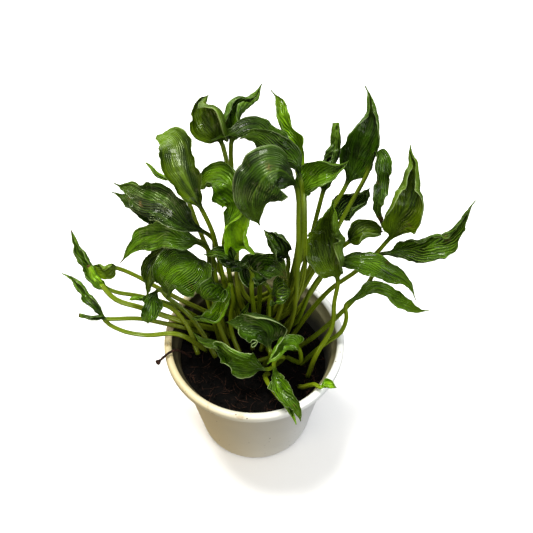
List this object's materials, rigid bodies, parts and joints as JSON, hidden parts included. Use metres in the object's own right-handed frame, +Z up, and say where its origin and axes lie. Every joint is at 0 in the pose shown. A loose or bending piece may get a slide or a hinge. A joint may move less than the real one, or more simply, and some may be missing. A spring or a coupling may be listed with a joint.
{
  "type": "potted foliage plant",
  "caption": "Clump of long-stalked, curling, ribbed green leaves growing from dark soil in a round off-white pot with a rolled rim.",
  "frame": {"origin": "centre of the pot's flat underside, where it stands", "axes": "+Z up along the pot's axis; +Y towards the back of the plant; +X to the right seen from the front"},
  "size_m": [0.3514, 0.2052, 0.3343],
  "materials": {
    "pot": "satin",
    "soil": "matte",
    "bark": "matte",
    "leaf_dark": "gloss",
    "leaf_green": "gloss",
    "leaf_bright": "gloss",
    "leaf_olive": "satin"
  },
  "bodies": {
    "root": {"pot": "pot", "soil": "soil", "bark_twig": "bark", "leaf_left_low": "leaf_green", "leaf_left_cut_stalk": "leaf_dark", "leaf_left_rolled": "leaf_bright", "leaf_left_long": "leaf_green", "leaf_left_small": "leaf_olive", "leaf_hanging_olive": "leaf_olive", "leaf_rolled_ribbed": "leaf_green", "leaf_hanging_fan": "leaf_dark", "leaf_left_stub": "leaf_bright", "leaf_left_brown_tip": "leaf_green", "leaf_left_broad": "leaf_dark", "leaf_left_under": "leaf_dark", "leaf_left_light_tip": "leaf_bright", "leaf_left_olive_hood": "leaf_olive", "leaf_top_left_cup": "leaf_olive", "leaf_top_point": "leaf_green", "leaf_top_arch_back": "leaf_dark", "leaf_top_arch_front": "leaf_dark", "leaf_big_centre": "leaf_dark", "leaf_top_right_slender": "leaf_bright", "leaf_centre_curled": "leaf_green", "leaf_centre_bright": "leaf_bright", "leaf_centre_ribbon": "leaf_dark", "leaf_centre_round": "leaf_dark", "leaf_centre_ribbed": "leaf_green", "leaf_centre_crinkled": "leaf_dark", "leaf_grey_curl": "leaf_green", "leaf_pale_lip": "leaf_bright", "leaf_sprout": "leaf_green", "leaf_front_left": "leaf_green", "leaf_front_over_rim": "leaf_green", "leaf_front_yellow_tip": "leaf_bright", "leaf_pale_cup": "leaf_green", "leaf_centre_fan": "leaf_dark", "leaf_right_over_rim": "leaf_bright", "leaf_right_long_stalk": "leaf_olive", "leaf_right_loop": "leaf_green", "leaf_right_arch": "leaf_green", "leaf_far_right": "leaf_green", "leaf_right_vase": "leaf_olive", "leaf_right_olive_back": "leaf_olive", "leaf_right_drooping": "leaf_dark", "leaf_right_tall": "leaf_dark", "leaf_right_upright": "leaf_dark", "leaf_right_ribbed_back": "leaf_dark", "leaf_right_bright_wing": "leaf_green"}
  },
  "joints": []
}
